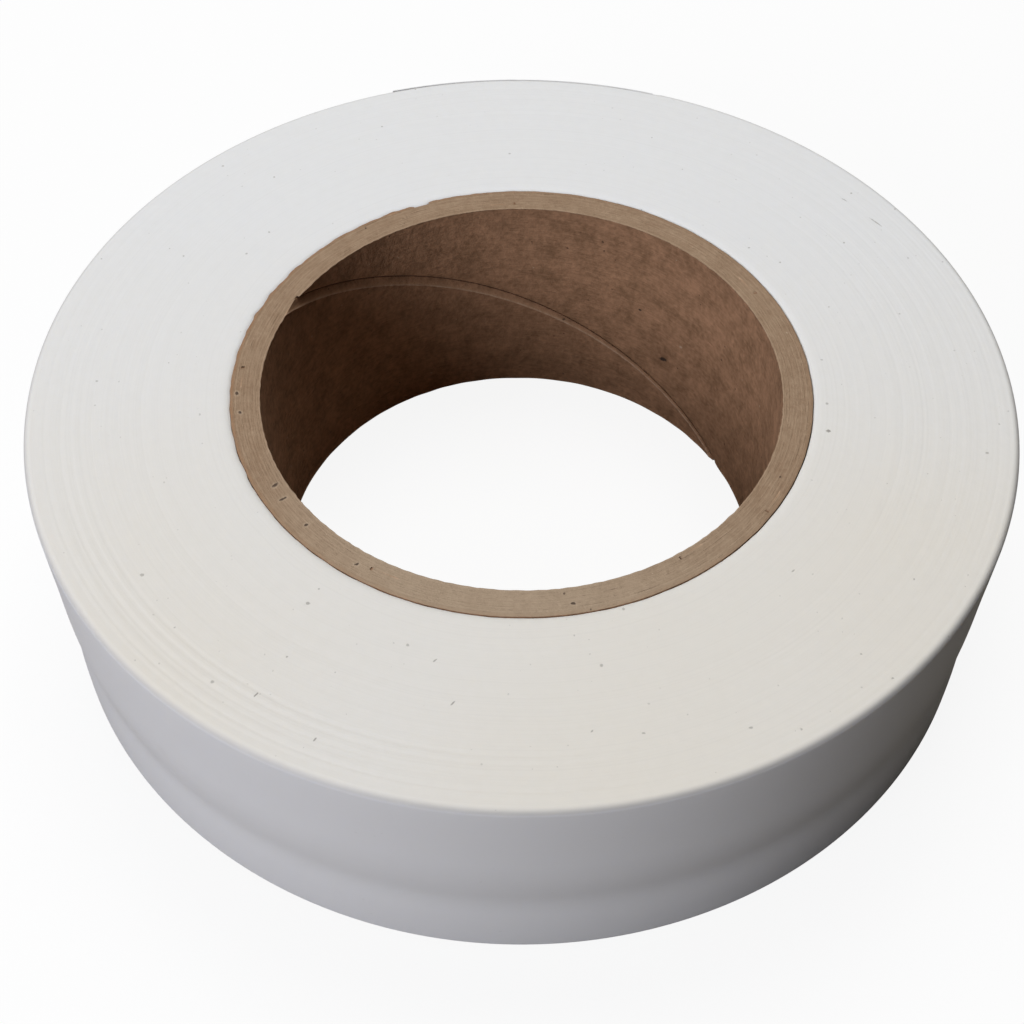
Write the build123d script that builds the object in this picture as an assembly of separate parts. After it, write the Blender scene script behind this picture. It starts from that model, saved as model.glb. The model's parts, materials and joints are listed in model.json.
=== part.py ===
from build123d import *
import math
import os

# A roll of tree-guard film wound on a spiral-wound paperboard core.
# Lengths are in millimetres and angles in degrees, counter-clockwise seen from above.
# The origin is the centre of the bore at the bottom face, with +Z up along the bore.

# ---- driving dimensions: the roll ----
ROLL_WIDTH = 38.0  # the film is this wide, and the core is cut to the same length
BORE_RADIUS = 38.1  # a 3 inch core
FILM_THICKNESS = 0.2
FILM_WRAPS = 147  # whole turns under the free end

# ---- driving dimensions: the core's paper plies ----
PLY_THICKNESS = 0.54
PLY_COUNT = 8
SEAM_PITCH = 107.3  # height that a strip's edge gains in one turn
SEAM_GAP = 1.2  # between the edges of the liner and of the outer ply, measured square to the seam
BURIED_SEAM_GAP = 0.4  # the same for the plies between them
LINER_SEAM_ANGLE = 28.0  # where the liner's seam meets the bottom face
SEAM_STAGGER = 148.2  # from one ply's seam to the seam of the ply around it

# ---- driving dimensions: the tape under the first wrap ----
START_TAPE_THICKNESS = 0.1
START_TAPE_LENGTH = 25.0  # round the core
START_TAPE_WIDTH = 25.0  # along the core
START_TAPE_ANGLE = 200.0  # middle of the tape

# ---- driving dimensions: the free end and its tab ----
HINGE_ANGLE = 72.0  # where the free end leaves the roll
TAIL_LENGTH = 45.0
TAIL_CLEARANCE = 0.15  # from the free end to the wraps under and behind it
TAB_THICKNESS = 0.08
TAB_LENGTH = 30.0
TAB_WIDTH = 19.0
TAB_ON_TAIL = 14.0  # how much of the tab's length lies on the free end

CUT_MARGIN = 1.0  # how far a cutting solid runs past what it cuts
PARTS_FOLDER = "parts"

# ---- sizes that follow from them ----
CORE_RADIUS = BORE_RADIUS + PLY_COUNT * PLY_THICKNESS
PACK_RADIUS = CORE_RADIUS + FILM_WRAPS * FILM_THICKNESS
TAIL_RADIUS = PACK_RADIUS + TAIL_CLEARANCE  # inner face of the free end
TAIL_OUTER_RADIUS = TAIL_RADIUS + FILM_THICKNESS


def span_of(length, radius):
    """The angle that an arc of this length takes at this radius."""
    return math.degrees(length / radius)


def ring(inner_radius, outer_radius):
    """A closed tube as long as the roll is wide."""
    tube = extrude(Circle(outer_radius) - Circle(inner_radius), ROLL_WIDTH)
    return tube.solid()


def sector(inner_radius, outer_radius, start, end):
    """A flat piece of a ring around the origin, from one angle to another."""
    inner = CenterArc((0, 0), inner_radius, start, end - start)
    outer = CenterArc((0, 0), outer_radius, start, end - start)
    return make_face([inner, outer, Line(inner @ 0, outer @ 0), Line(inner @ 1, outer @ 1)])


def seam_cutter(inner_radius, bottom_angle, gap_width):
    """The helical gap that a strip's two edges leave in its ply, made to cut right through it."""
    helix_angle = math.atan2(SEAM_PITCH, 2 * math.pi * inner_radius)
    half = span_of(gap_width / math.sin(helix_angle), inner_radius) / 2
    low = inner_radius - PLY_THICKNESS / 2
    high = inner_radius + PLY_THICKNESS * 3 / 2
    corners = [
        (radius * math.cos(math.radians(angle)), radius * math.sin(math.radians(angle)))
        for radius, angle in ((low, -half), (high, -half), (high, half), (low, half))
    ]
    height = ROLL_WIDTH + 2 * CUT_MARGIN
    turn = 360 * height / SEAM_PITCH
    gap = Solid.extrude_linear_with_rotation(
        Wire.make_polygon([Vector(x, y, 0) for x, y in corners]),
        center=(0, 0, 0),
        normal=(0, 0, height),
        angle=turn,
    )
    start = bottom_angle - 360 * CUT_MARGIN / SEAM_PITCH
    return Rot(0, 0, start) * Pos(0, 0, -CUT_MARGIN) * gap


def paper_ply(number):
    """One wound strip of the core. Number 0 is the liner, which is the wall of the bore."""
    inner_radius = BORE_RADIUS + number * PLY_THICKNESS
    bottom_angle = LINER_SEAM_ANGLE + number * SEAM_STAGGER
    gap_width = BURIED_SEAM_GAP if 0 < number < PLY_COUNT - 1 else SEAM_GAP
    seam = seam_cutter(inner_radius, bottom_angle, gap_width)
    return ring(inner_radius, inner_radius + PLY_THICKNESS) - seam


def start_tape():
    """Double-sided tape on the outside of the core, half way up it."""
    half = span_of(START_TAPE_LENGTH, CORE_RADIUS) / 2
    outline = sector(
        CORE_RADIUS,
        CORE_RADIUS + START_TAPE_THICKNESS,
        START_TAPE_ANGLE - half,
        START_TAPE_ANGLE + half,
    )
    return Pos(0, 0, (ROLL_WIDTH - START_TAPE_WIDTH) / 2) * extrude(outline, START_TAPE_WIDTH)


def film_pack(tape):
    """The wound film. Its outside is the last wrap's spiral, drawn as two half turns.

    The second half turn has its centre half a film thickness nearer to the free end, so the
    outside gains one thickness in a whole turn, and steps back down where the free end leaves it.
    """
    first = CenterArc((0, 0), PACK_RADIUS, 0, 180)
    second = CenterArc((FILM_THICKNESS / 2, 0), PACK_RADIUS + FILM_THICKNESS / 2, 180, 180)
    outline = make_face([first, second, Line(second @ 1, first @ 0)])
    wound = extrude(Rot(0, 0, HINGE_ANGLE) * outline, ROLL_WIDTH)
    core_hole = extrude(Circle(CORE_RADIUS), ROLL_WIDTH)
    return wound - core_hole - tape


def film_tail():
    """The free end, lying just clear of the wraps beneath it."""
    start = HINGE_ANGLE + span_of(TAIL_CLEARANCE, TAIL_RADIUS)
    end = start + span_of(TAIL_LENGTH, TAIL_RADIUS)
    return extrude(sector(TAIL_RADIUS, TAIL_OUTER_RADIUS, start, end), ROLL_WIDTH)


def closing_tab():
    """A thin tab stuck over the edge of the free end, half on it and half on the wraps below."""
    edge = HINGE_ANGLE + span_of(TAIL_CLEARANCE + TAIL_LENGTH, TAIL_RADIUS)
    start = edge - span_of(TAB_ON_TAIL, TAIL_OUTER_RADIUS)
    end = edge + span_of(TAB_LENGTH - TAB_ON_TAIL, TAIL_RADIUS)
    step = edge + span_of(TAB_THICKNESS, TAIL_RADIUS)
    on_tail = sector(TAIL_OUTER_RADIUS, TAIL_OUTER_RADIUS + TAB_THICKNESS, start, step)
    over_edge = sector(TAIL_RADIUS, TAIL_OUTER_RADIUS + TAB_THICKNESS, edge, step)
    on_wraps = sector(TAIL_RADIUS, TAIL_RADIUS + TAB_THICKNESS, edge, end)
    outline = on_tail + over_edge + on_wraps
    return Pos(0, 0, (ROLL_WIDTH - TAB_WIDTH) / 2) * extrude(outline, TAB_WIDTH)


def ply_name(number):
    """The liner and the outer ply have names of their own, and the rest are counted from the bore."""
    if number == 0:
        return "core_liner_ply"
    if number == PLY_COUNT - 1:
        return "core_outer_ply"
    return f"core_ply_{number + 1}"


def hinge_place():
    """The line along which the free end bends, as a point on the bottom face."""
    angle = math.radians(HINGE_ANGLE + span_of(TAIL_CLEARANCE, TAIL_RADIUS))
    radius = TAIL_RADIUS + FILM_THICKNESS / 2
    return radius * math.cos(angle), radius * math.sin(angle)


def main():
    os.makedirs(PARTS_FOLDER, exist_ok=True)
    tape = start_tape()
    pieces = {ply_name(number): paper_ply(number) for number in range(PLY_COUNT)}
    pieces["start_tape"] = tape
    pieces["film_pack"] = film_pack(tape)
    pieces["film_tail"] = film_tail()
    pieces["closing_tab"] = closing_tab()
    for name, piece in pieces.items():
        export_step(piece, f"{PARTS_FOLDER}/{name}.step")
    hinge_x, hinge_y = hinge_place()
    wound_area = math.pi * (PACK_RADIUS**2 - CORE_RADIUS**2)
    print(f"core radius {CORE_RADIUS:.2f}, pack radius {PACK_RADIUS:.2f}")
    print(f"free end bends at x {hinge_x:.3f}, y {hinge_y:.3f}")
    print(f"film on the roll: {wound_area / FILM_THICKNESS / 1000:.1f} m")


main()
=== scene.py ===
# %% [markdown]
# # A roll of tree-guard film
#
# This kind of tree guard is sold as a flat roll: some fifty metres of white polythene, 38 mm
# wide, wound tightly on a short paperboard core. A grower hangs the roll on a spindle, pulls
# off a length, and wraps or sleeves a young trunk with it.
#
# The measured model is loaded first. It gives the sizes, the pieces and the one joint, and
# everything below is built round it, in metres, with the bore along Z and the roll lying on
# the plane Z = 0.

import json
import math

import bpy
import numpy as np
from mathutils import Matrix, Vector

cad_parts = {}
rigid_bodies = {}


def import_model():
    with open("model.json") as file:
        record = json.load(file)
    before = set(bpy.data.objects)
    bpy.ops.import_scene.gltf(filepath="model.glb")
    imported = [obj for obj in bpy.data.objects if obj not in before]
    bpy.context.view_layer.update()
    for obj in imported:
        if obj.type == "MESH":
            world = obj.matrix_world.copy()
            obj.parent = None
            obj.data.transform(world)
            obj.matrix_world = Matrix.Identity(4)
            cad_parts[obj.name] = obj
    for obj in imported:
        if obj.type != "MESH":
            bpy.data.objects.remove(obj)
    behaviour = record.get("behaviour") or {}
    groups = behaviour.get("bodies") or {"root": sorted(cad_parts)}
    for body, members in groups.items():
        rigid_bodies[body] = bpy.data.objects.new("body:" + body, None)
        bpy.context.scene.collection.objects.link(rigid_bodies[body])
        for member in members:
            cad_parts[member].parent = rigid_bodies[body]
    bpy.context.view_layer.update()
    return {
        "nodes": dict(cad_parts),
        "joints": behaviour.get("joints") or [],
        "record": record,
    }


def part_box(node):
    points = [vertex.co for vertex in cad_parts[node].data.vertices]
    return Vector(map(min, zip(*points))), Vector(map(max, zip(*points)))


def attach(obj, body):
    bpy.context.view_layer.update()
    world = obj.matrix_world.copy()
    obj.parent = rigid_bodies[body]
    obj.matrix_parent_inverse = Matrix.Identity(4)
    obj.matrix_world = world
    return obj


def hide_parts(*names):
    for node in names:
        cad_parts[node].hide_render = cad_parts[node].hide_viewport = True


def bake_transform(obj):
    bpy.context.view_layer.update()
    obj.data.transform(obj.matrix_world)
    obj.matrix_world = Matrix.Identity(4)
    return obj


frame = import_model()
print("measured pieces:", sorted(frame["nodes"]))

# %% [markdown]
# The overall sizes come from the frame, so that the looks can't drift from the measured model.
# Only the sizes that a finished box can't tell are written here: how thick a ply and a wrap
# are, and how the paper strips wind.

# %% Sizes
MM = 0.001
PLY_THICKNESS = 0.54 * MM
SEAM_PITCH = 107.3 * MM  # height that the edge of a paper strip gains in one turn
LINER_SEAM_ANGLE = 28.0  # degrees, where the liner's seam meets the bottom face
SEAM_STAGGER = 148.2  # degrees from one ply's seam to the next one's
FILM_THICKNESS = 0.2 * MM
TAIL_CLEARANCE = 0.15 * MM
TAIL_LENGTH = 45.0 * MM

mounts = {mount["name"]: mount for mount in frame["record"]["mounts"]}
hinge = frame["joints"][0]
hinge_x, hinge_y = hinge["pos_m"][:2]
ply_names = ["core_liner_ply", *[f"core_ply_{n}" for n in range(2, 8)], "core_outer_ply"]

roll_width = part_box("film_pack")[1].z
bore_radius = mounts["core_bore"]["dims"]["r_mm"] * MM
core_radius = bore_radius + len(ply_names) * PLY_THICKNESS
pack_radius = math.hypot(hinge_x, hinge_y) - FILM_THICKNESS / 2 - TAIL_CLEARANCE
wraps = round((pack_radius - core_radius) / FILM_THICKNESS)
tail_angle = math.atan2(hinge_y, hinge_x) - TAIL_CLEARANCE / pack_radius

print(f"bore {bore_radius / MM:.1f} mm, core {core_radius / MM:.2f} mm, roll {pack_radius / MM:.2f} mm")
print(f"{wraps} wraps, and the free end leaves at {math.degrees(tail_angle):.1f} degrees")

# %% [markdown]
# ## Helpers for round pieces
#
# Nearly everything on a roll is a function of an angle, a radius and a height. A cylinder from
# the Add menu would give the shape, but none of what makes a roll look wound, so each piece is
# worked out point by point as a grid in those three coordinates. `polar` turns them into
# ordinary ones, and `make_piece` makes a smooth-shaded mesh of the grid.

# %% Points and meshes
CORNER_ANGLE = math.radians(40)  # faces that meet more steeply than this keep a crisp edge


def polar(radius, angle, height):
    """Rows of x, y and z from arrays of radius, angle and height that can be spread to one shape."""
    radius, angle, height = np.broadcast_arrays(radius, angle, height)
    points = [radius * np.cos(angle), radius * np.sin(angle), height]
    return np.stack(points, axis=-1).reshape(-1, 3)


def quads(corners_a, corners_b, corners_c, corners_d):
    """Faces from four arrays that hold each face's corner numbers, in turn round the face."""
    return np.stack([np.asarray(c).ravel() for c in (corners_a, corners_b, corners_c, corners_d)], axis=-1)


def grid_quads(numbers):
    """A face for each cell of a grid of corner numbers. It faces along rows cross columns."""
    return quads(numbers[:-1, :-1], numbers[1:, :-1], numbers[1:, 1:], numbers[:-1, 1:])


def make_piece(name, points, faces, marks=None):
    """A smooth-shaded mesh object, with a number per point for each name in marks."""
    mesh = bpy.data.meshes.new(name)
    mesh.from_pydata(points.tolist(), [], [list(face) for face in faces])
    mesh.validate()
    for mark, values in (marks or {}).items():
        attribute = mesh.attributes.new(mark, "FLOAT", "POINT")
        attribute.data.foreach_set("value", np.asarray(values, np.float32).ravel())
    mesh.shade_smooth()
    mesh.set_sharp_from_angle(angle=CORNER_ANGLE)
    piece = bpy.data.objects.new(name, mesh)
    bpy.context.scene.collection.objects.link(piece)
    print(f"{name}: {len(mesh.vertices)} points, {len(mesh.polygons)} faces")
    return piece


# %% [markdown]
# Nothing that is wound is perfectly even. The unevenness must be smooth, though, and must meet
# itself after a full turn. A sum of sine waves does both: their phases are drawn at random from
# a numbered seed, so that the result looks irregular and is the same each time.

# %% Smooth unevenness
def waver(place, slowest, fastest, seed, terms=24):
    """Smooth random waves of about unit height along place, with this many waves per unit."""
    draw = np.random.default_rng(seed)
    rates = draw.uniform(slowest, fastest, terms)
    starts = draw.uniform(0, 2 * math.pi, terms)
    waves = [np.sin(2 * math.pi * rate * place + start) for rate, start in zip(rates, starts)]
    return sum(waves) / math.sqrt(terms / 2)


def round_waver(angle, fewest, most, seed, terms=24):
    """The same round a circle: each wave fits a whole number of times, so that the ends meet."""
    draw = np.random.default_rng(seed)
    counts = draw.integers(fewest, most + 1, terms)
    starts = draw.uniform(0, 2 * math.pi, terms)
    return sum(np.sin(count * angle + start) for count, start in zip(counts, starts)) / math.sqrt(terms / 2)


def bump_at(place, middle, spread):
    """A soft hump of height 1 at middle."""
    return np.exp(-0.5 * ((place - middle) / spread) ** 2)


def angle_from(angle, middle_degrees):
    """How far an angle is from a direction given in degrees, from -180 to 180 degrees."""
    return (np.degrees(angle) - middle_degrees + 180) % 360 - 180


# %% [markdown]
# ## The film roll
#
# The roll is one strip of film, wound 147 times. It could be a ring with grooves drawn on its
# ends, but a wound roll has something that a ring hasn't: its surface is one long spiral, and
# steps down by one film thickness where the free end leaves it. So the ends are built as a
# spiral grid with one row of points for each wrap. After a full turn, row 10 runs on as row 11,
# which takes no more than giving the last column of a row the numbers of the next row's first.
#
# The film wandered a little from side to side as it was wound, and a loose wrap here and there
# stands back. That shows as fine rings, with a bundle of stronger ones near the outside.

# %% How far the film's edges stand back from a flat face
RIM_ROUNDING = 1.0 * MM  # at the outside, where handling has eased the corner
CORE_EASING = 0.35 * MM  # at the core, and how wide that is
CORE_EASED_WIDTH = 0.35 * MM
MEAN_DEPTH = 0.03 * MM
FACE_WANDER = 0.0035 * MM
COARSE_WANDER = 0.0045 * MM
CORE_RING_DEPTH = 0.006 * MM  # of a few faint rings next to the core
RIDGE_COUNT = 6
RIDGE_DEPTH = 0.055 * MM
RIDGE_START = 1.9 * MM  # from the outside to the first ridge
RIDGE_SPACING = 1.18 * MM
RIDGE_SPREAD = 0.26 * MM
RIDGE_SWING = 0.12 * MM  # how far a ridge strays in and out
RIDGE_REACH = 27  # degrees from where a ridge is strongest to where it has faded
RIDGE_LEAST = 0.04  # the share of its depth that it keeps elsewhere


def edge_depth(wrap, angle, seed, strongest_at):
    """How deep the film's edge lies below the face at a wrap number and an angle."""
    radius = core_radius + wrap * FILM_THICKNESS
    fine = FACE_WANDER * waver(wrap, 0.23, 0.49, seed)
    coarse = COARSE_WANDER * waver(wrap, 0.03, 0.16, seed + 1)
    ridges = 0
    for number in range(RIDGE_COUNT):
        middle = pack_radius - RIDGE_START - number * RIDGE_SPACING + 0.22 * MM * math.sin(2.4 * number)
        from_strongest = angle_from(angle, strongest_at + 14 * math.sin(1.7 * number))
        reach = RIDGE_LEAST + (1 - RIDGE_LEAST) * bump_at(from_strongest, 0, RIDGE_REACH)
        swing = RIDGE_SWING * np.sin(2 * angle + number)
        ridges = ridges + reach * bump_at(radius + swing, middle, RIDGE_SPREAD)
    near_core = CORE_RING_DEPTH * bump_at(wrap, 9, 7) * np.sin(2 * math.pi * wrap / 3.6)
    depth = MEAN_DEPTH + fine + coarse + RIDGE_DEPTH * ridges + near_core
    eased = CORE_EASING * np.exp(-wrap * FILM_THICKNESS / CORE_EASED_WIDTH)
    return np.maximum(depth, 0) + eased


# %% [markdown]
# The film and the core share one outline where they meet on a face. The saw left the core's
# edge lumpy, more on one side than on the other, and the first wraps took up its shape. Where
# the outer ply has its seam, the film is drawn into the gap, which shows as a small step.

# %% The outline between core and film
OUTLINE_LUMPS = 0.05 * MM
ROUGH_SIDE = 152  # degrees, the middle of the lumpier side
ROUGH_REACH = 42  # degrees to either side
STEP_DEPTH = 0.42 * MM
STEP_HALF = 1.25 * MM


def seam_middle(number, height):
    """The angle of a ply's seam at a height."""
    return math.radians(LINER_SEAM_ANGLE + number * SEAM_STAGGER) + 2 * math.pi * height / SEAM_PITCH


def rough_share(angle):
    """1 on the core's lumpy side, and 0.2 opposite."""
    return 0.2 + 0.8 * bump_at(angle_from(angle, ROUGH_SIDE), 0, ROUGH_REACH)


def core_outline(angle, height):
    """How far the rim of the core lies outside its true radius, on the face at this height."""
    coarse = round_waver(angle, 25, 80, 310)
    fine = round_waver(angle, 90, 190, 311, terms=40)
    lumps = OUTLINE_LUMPS * rough_share(angle) * (1.3 * coarse + 0.5 * fine)
    step_angle = np.degrees(seam_middle(len(ply_names) - 1, height))
    off_step = np.radians(angle_from(angle, step_angle)) * core_radius
    return lumps - STEP_DEPTH * np.exp(-((off_step / STEP_HALF) ** 4))


# %% [markdown]
# The outside of the roll isn't a plain cylinder either. Film comes off its extruder a hair
# thinner in places, and 147 wraps of that hair add up to a shallow waist, called a gauge band.

# %% The outside of the roll
WAIST_DEPTH = 0.5 * MM
WAIST_HEIGHT = 12.6 * MM
WAIST_SPREAD = 3.2 * MM
UPPER_WAIST_DEPTH = 0.05 * MM
UPPER_WAIST_HEIGHT = 27 * MM
UPPER_WAIST_SPREAD = 3 * MM
RIPPLE = 0.012 * MM


def waist(height, angle):
    """How far the outside of the roll lies inside a plain cylinder."""
    main = WAIST_DEPTH * bump_at(height, WAIST_HEIGHT, WAIST_SPREAD)
    upper = UPPER_WAIST_DEPTH * bump_at(height, UPPER_WAIST_HEIGHT, UPPER_WAIST_SPREAD)
    ripple = RIPPLE * (1 + round_waver(angle, 2, 7, 41))
    return main * (1 + 0.08 * round_waver(angle, 1, 4, 42)) + upper + ripple


def outside_radius(turn, height, angle):
    """The radius of the last wrap, a share of a turn after the free end's root."""
    return pack_radius + FILM_THICKNESS * turn - waist(height, angle)


# %% Build the wound film
COLUMNS = 306
SIDE_LEVELS = 26
SIDE_WRAPS = 5  # the finish turns from the face's to the side's over this many wraps
HIDDEN_DEPTH = 1.5 * MM  # below this the core's outline is a plain circle again
RIM_ANGLES = np.radians([72, 81, 90])  # the lower part of the rim's rounding, on the side


def face_grid(flip):
    """Points and numbers of one face: a row for each wrap, a column for each angle, and one point more."""
    turn = np.arange(COLUMNS) / COLUMNS
    row = np.arange(wraps + 1)[:, None]
    wrap = row + turn[None, :]
    angle = tail_angle + 2 * math.pi * turn[None, :]
    inward = (wraps - row) * FILM_THICKNESS + 0 * wrap
    on_rim = np.clip(inward, (1 - math.sin(RIM_ANGLES[0])) * RIM_ROUNDING, RIM_ROUNDING)
    drop = RIM_ROUNDING - np.sqrt(RIM_ROUNDING**2 - (RIM_ROUNDING - on_rim) ** 2)
    seed, strongest_at = (71, 48) if flip else (11, 236)
    depth = edge_depth(wrap, angle, seed, strongest_at) + drop
    face_height = 0 if flip else roll_width
    radius = core_radius + wrap * FILM_THICKNESS + core_outline(angle, face_height) * np.exp(-row / 3.5)
    radius[-1] -= on_rim[-1] + waist(roll_width, angle[0])
    height = depth if flip else roll_width - depth
    points = polar(radius, angle + 0 * wrap, height)
    last = polar(radius[-1, -1] + FILM_THICKNESS / COLUMNS, tail_angle, height[-1, -1])
    numbers = np.arange((wraps + 1) * COLUMNS).reshape(wraps + 1, COLUMNS)
    next_row = np.append(numbers[1:, 0], (wraps + 1) * COLUMNS)
    side_share = np.clip(1 - inward / (SIDE_WRAPS * FILM_THICKNESS), 0, 1) ** 2
    return np.vstack([points, last]), np.hstack([numbers, next_row[:, None]]), np.append(side_share, 1)


def side_levels(turn):
    """Radius and height of each level of the outside, from the top rim to the bottom one."""
    rim_inset = RIM_ROUNDING * (1 - np.sin(RIM_ANGLES[1:]))
    rim_drop = RIM_ROUNDING * (1 - np.cos(RIM_ANGLES[1:]))
    heights = np.linspace(roll_width - RIM_ROUNDING, RIM_ROUNDING, SIDE_LEVELS)[1:-1]
    heights = np.concatenate([roll_width - rim_drop, heights, rim_drop[::-1]])
    insets = np.concatenate([rim_inset, 0 * heights[4:], rim_inset[::-1]])
    angle = tail_angle + 2 * math.pi * turn
    radius = outside_radius(turn[None, :], heights[:, None], angle[None, :]) - insets[:, None]
    return polar(radius, angle[None, :], heights[:, None]), len(heights)


def wound_film():
    top, top_numbers, top_share = face_grid(flip=False)
    bottom, bottom_numbers, bottom_share = face_grid(flip=True)
    side, levels = side_levels(np.arange(COLUMNS + 1) / COLUMNS)
    turn = np.arange(COLUMNS + 1) / COLUMNS
    inner_radius = core_radius + turn * FILM_THICKNESS
    inner_heights = np.array([[roll_width - HIDDEN_DEPTH], [HIDDEN_DEPTH]])
    hidden = polar(inner_radius, tail_angle + 2 * math.pi * turn, inner_heights)
    bottom_numbers = bottom_numbers + len(top)
    side_numbers = np.arange(len(side)).reshape(levels, COLUMNS + 1) + 2 * len(top)
    outside = np.vstack([top_numbers[-1], side_numbers, bottom_numbers[-1]])
    hidden_numbers = np.arange(len(hidden)).reshape(2, COLUMNS + 1) + 2 * len(top) + len(side)
    inside = np.vstack([top_numbers[0], hidden_numbers, bottom_numbers[0]])
    faces = [
        grid_quads(top_numbers),
        grid_quads(bottom_numbers)[:, ::-1],
        grid_quads(outside),
        grid_quads(inside)[:, ::-1],
        quads(outside[:-1, 0], outside[:-1, -1], outside[1:, -1], outside[1:, 0]),
        quads(inside[:-1, 0], inside[1:, 0], inside[1:, -1], inside[:-1, -1]),
    ]
    points = np.vstack([top, bottom, side, hidden])
    share = np.concatenate([top_share, bottom_share, np.ones(len(side)), np.zeros(len(hidden))])
    return make_piece("wound_film", points, np.vstack(faces), {"side_share": share})


film = wound_film()

# %% [markdown]
# ## The free end and its tab
#
# The last 45 mm of the film is free to lift, and a short piece of clear adhesive tape holds it
# down. The free end starts exactly where the roll's surface steps down, so that its outer face
# runs on from the last wrap. It is a thin closed strip of two grids, an inner and an outer
# face, joined all round. It follows the waist of the roll, as film that lies on a roll does,
# and its corners curl up by a hair where the tab doesn't hold them.

# %% Build the free end
BEND_LENGTH = 8 * MM  # the free end's rows lie closer together over this first length
TAIL_LIFT = 0.05 * MM  # air under the free end
LIFTS_OVER = 3 * MM
CORNER_CURL = 0.15 * MM
TAIL_EDGE = 0.25 * MM  # the free end's edges stand this far inside the roll's faces


def strip(along, across, inner, outer):
    """A closed thin strip from matching grids of inner and outer points, rows along and columns across."""
    rows, columns = len(along), len(across)
    under = np.arange(rows * columns).reshape(rows, columns)
    over = under + rows * columns
    faces = [grid_quads(over), grid_quads(under)[:, ::-1]]
    for near, far in (
        (under[0], over[0]),
        (over[-1], under[-1]),
        (over[:, 0], under[:, 0]),
        (under[:, -1], over[:, -1]),
    ):
        faces.append(quads(near[:-1], far[:-1], far[1:], near[1:])[:, ::-1])
    return np.vstack([inner, outer]), np.vstack(faces)


def tail_radius(distance, height):
    """The free end's inner radius, this far along it and this high."""
    turn = distance / (2 * math.pi * pack_radius)
    angle = tail_angle + 2 * math.pi * turn
    lift = TAIL_LIFT * (1 - np.exp(-distance / LIFTS_OVER))
    edge = np.abs(height / roll_width - 0.5) * 2
    curl = CORNER_CURL * edge**4 * np.clip(distance / TAIL_LENGTH, 0, 1) ** 5
    past_side = np.maximum(edge * roll_width / 2 - (roll_width / 2 - RIM_ROUNDING), 0)
    rounding = RIM_ROUNDING - np.sqrt(RIM_ROUNDING**2 - past_side**2)
    return outside_radius(turn, height, angle) + lift + curl - rounding


def free_end():
    at_bend, past_bend = np.linspace(0, BEND_LENGTH, 17), np.linspace(BEND_LENGTH + 0.8 * MM, TAIL_LENGTH, 46)
    distance = np.concatenate([at_bend, past_bend])
    rim = np.linspace(TAIL_EDGE, RIM_ROUNDING, 5)
    flat_from = RIM_ROUNDING + 0.6 * MM
    flat = np.linspace(flat_from, roll_width - flat_from, 32)
    height = np.concatenate([rim, flat, (roll_width - rim)[::-1]])
    inner_radius = tail_radius(distance[:, None], height[None, :])
    angle = (tail_angle + distance / pack_radius)[:, None]
    inner = polar(inner_radius, angle, height[None, :])
    outer = polar(inner_radius + FILM_THICKNESS, angle, height[None, :])
    points, faces = strip(distance, height, inner, outer)
    return make_piece("free_end", points, faces, {"side_share": np.ones(len(points))})


tail = free_end()

# %% [markdown]
# The tab is common clear tape, torn from a desk dispenser, so its two ends are a row of small
# teeth. It crosses the edge of the free end in a low ramp, as tape does that is pressed down
# with a thumb.

# %% Build the adhesive tab
TAB_LENGTH = 30.0 * MM
TAB_ON_TAIL = 14.0 * MM
TAB_WIDTH = 19.0 * MM
TAB_THICKNESS = 0.08 * MM
TAB_TEETH = 12
TOOTH_LENGTH = 0.7 * MM
TAB_RAMP = 0.7 * MM  # half the length of the ramp over the free end's edge
TAB_GAP_ON_TAIL = 0.01 * MM  # what the adhesive fills
TAB_GAP_ON_ROLL = 0.05 * MM


def adhesive_tab():
    across = np.linspace(-0.5, 0.5, 4 * TAB_TEETH + 1)
    teeth = TOOTH_LENGTH * np.abs((across * TAB_TEETH * 2 + 1) % 2 - 1)
    share = np.linspace(0, 1, 61)[:, None]
    near = TAIL_LENGTH - TAB_ON_TAIL - teeth
    far = TAIL_LENGTH - TAB_ON_TAIL + TAB_LENGTH - TOOTH_LENGTH + teeth
    distance = near + (far - near) * share
    height = roll_width / 2 + across[None, :] * TAB_WIDTH + 0 * distance
    past_edge = np.clip((distance - TAIL_LENGTH + TAB_RAMP) / (2 * TAB_RAMP), 0, 1)
    down = past_edge * past_edge * (3 - 2 * past_edge)
    on_tail = tail_radius(distance, height) + FILM_THICKNESS + TAB_GAP_ON_TAIL
    on_roll = outside_radius(distance / (2 * math.pi * pack_radius), height, tail_angle) + TAB_GAP_ON_ROLL
    inner_radius = on_tail * (1 - down) + on_roll * down
    angle = tail_angle + distance / pack_radius
    inner = polar(inner_radius, angle, height)
    outer = polar(inner_radius + TAB_THICKNESS, angle, height)
    points, faces = strip(share, across, inner, outer)
    return make_piece("adhesive_tab", points, faces)


tab = adhesive_tab()

# %% [markdown]
# ## The paperboard core
#
# A core like this is made on a spiral winder: strips of kraft paper, each about 100 mm wide,
# are glued and wound at a steep angle on a steel mandrel, each over the last. Every ply is
# therefore one strip with a slanting seam. The liner's seam shows as a groove in the bore, and
# the outer ply's as a notch in the core's end.
#
# Each ply is built as its own strip. Its grid runs from one edge of the seam to the other, and
# its points lie close together near those edges, where the paper is bruised. Where the saw cut
# the core to length, each ply stands a little higher or lower than its neighbour, and its
# middle stands proud of the two glue lines beside it.

# %% Where a strip's edges lie beside its seam
BURIED_HALF_GAP = 0.10 * MM  # up or down from the seam's middle, along the core
OUTER_HALF_GAP = 0.62 * MM
LINER_STARTING_EDGE = (-0.4 * MM, 0.45 * MM)  # above the seam's middle: where it is closed, where it is open
LINER_ENDING_EDGE = (-0.1 * MM, 0.85 * MM)
LINER_SLOPE_LENGTH = (0.45 * MM, 1.5 * MM)


def smooth_step(value):
    value = np.clip(value, 0, 1)
    return value * value * (3 - 2 * value)


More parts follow.
